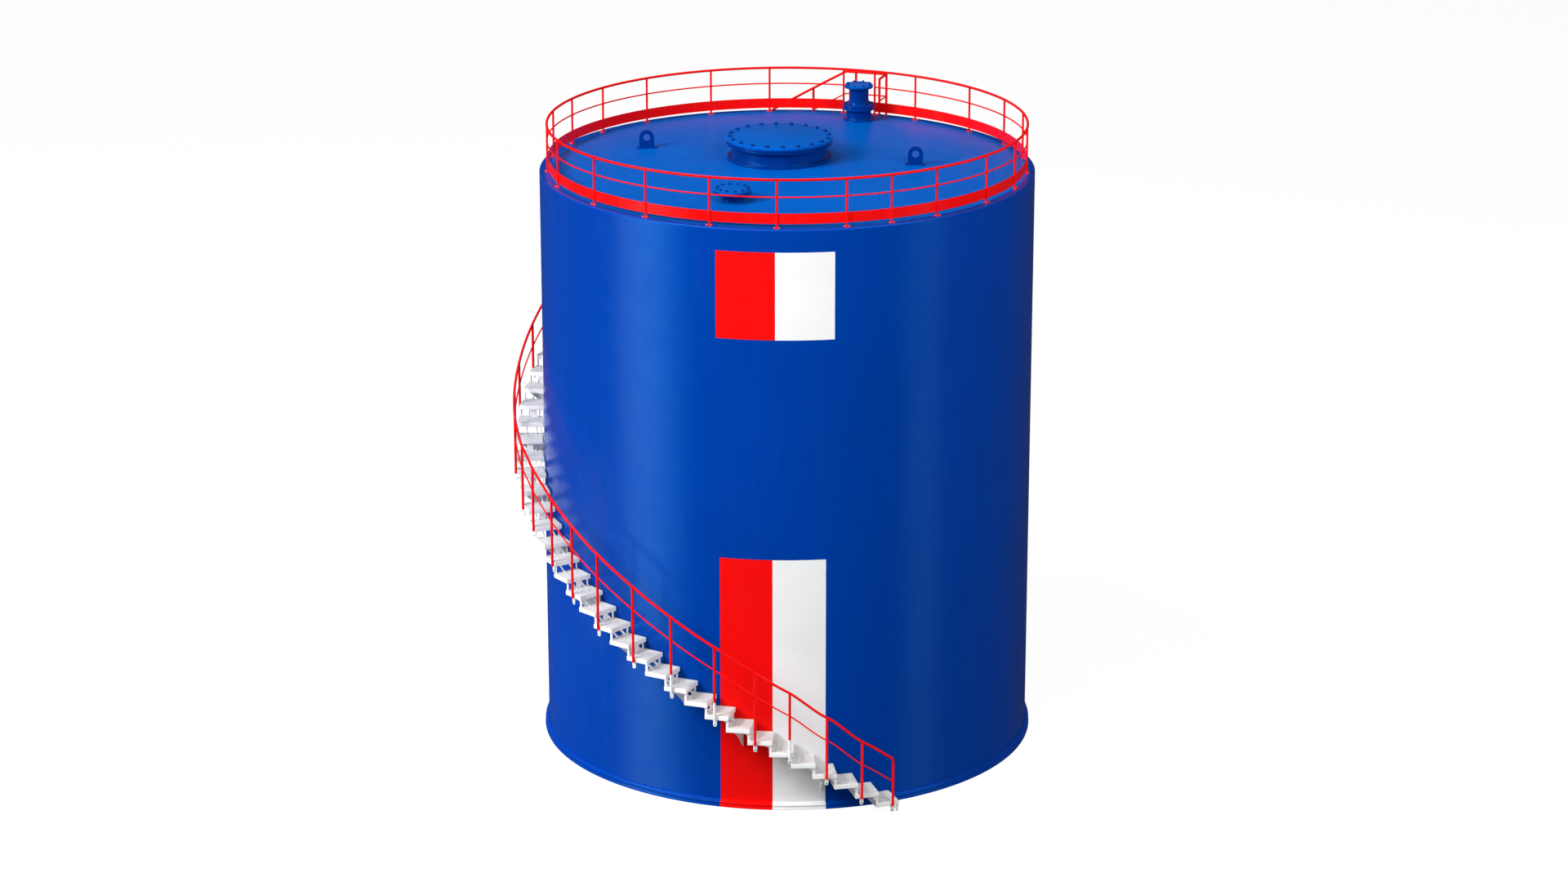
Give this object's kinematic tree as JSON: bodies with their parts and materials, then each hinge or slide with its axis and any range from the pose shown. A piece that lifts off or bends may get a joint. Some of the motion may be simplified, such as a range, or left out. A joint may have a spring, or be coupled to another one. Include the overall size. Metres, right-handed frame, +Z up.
{
  "type": "vertical storage tank",
  "caption": "Upright cylindrical steel tank with a low cone roof, manhole, hatch, blanked nozzle, lifting lugs, roof guard rail and a helical stair on the shell.",
  "frame": {"origin": "on the tank's axis at the underside of the bottom plate, level with the floor", "axes": "+Z up along the tank's axis; -Y is the front that faces the viewer of the picture; +X is to the right in that view"},
  "size_m": [11.1752, 11.7509, 13.4468],
  "materials": {
    "blue_paint": "gloss",
    "red_paint": "gloss",
    "white_paint": "satin"
  },
  "bodies": {
    "root": {"bottom_plate": "blue_paint", "chime_ring": "blue_paint", "shell_segment_1": "blue_paint", "shell_segment_2": "blue_paint", "shell_segment_3": "blue_paint", "shell_segment_4": "blue_paint", "shell_segment_5": "blue_paint", "shell_segment_6": "blue_paint", "shell_segment_7": "blue_paint", "shell_segment_8": "blue_paint", "roof_rim": "blue_paint", "roof_plate": "blue_paint", "manhole_pad": "blue_paint", "manhole_neck": "blue_paint", "manhole_cover": "blue_paint", "hatch_neck": "blue_paint", "hatch_cover": "blue_paint", "nozzle_stub": "blue_paint", "nozzle_spool": "blue_paint", "nozzle_blind": "blue_paint", "lifting_lug_left": "blue_paint", "lifting_lug_right": "blue_paint", "guard_rail_1": "red_paint", "guard_rail_2": "red_paint", "guard_rail_3": "red_paint", "guard_rail_4": "red_paint", "guard_rail_5": "red_paint", "guard_rail_6": "red_paint", "guard_rail_7": "red_paint", "guard_rail_8": "red_paint", "stair_rail_1": "red_paint", "stair_rail_2": "red_paint", "stair_rail_3": "red_paint", "stair_rail_4": "red_paint", "stair_rail_5": "red_paint", "stair_rail_6": "red_paint", "stair_rail_7": "red_paint", "landing_rail": "red_paint", "stair_flight_1": "white_paint", "stair_flight_2": "white_paint", "stair_flight_3": "white_paint", "stair_flight_4": "white_paint", "stair_flight_5": "white_paint", "stair_flight_6": "white_paint", "stair_flight_7": "white_paint", "top_landing": "white_paint"}
  },
  "joints": []
}
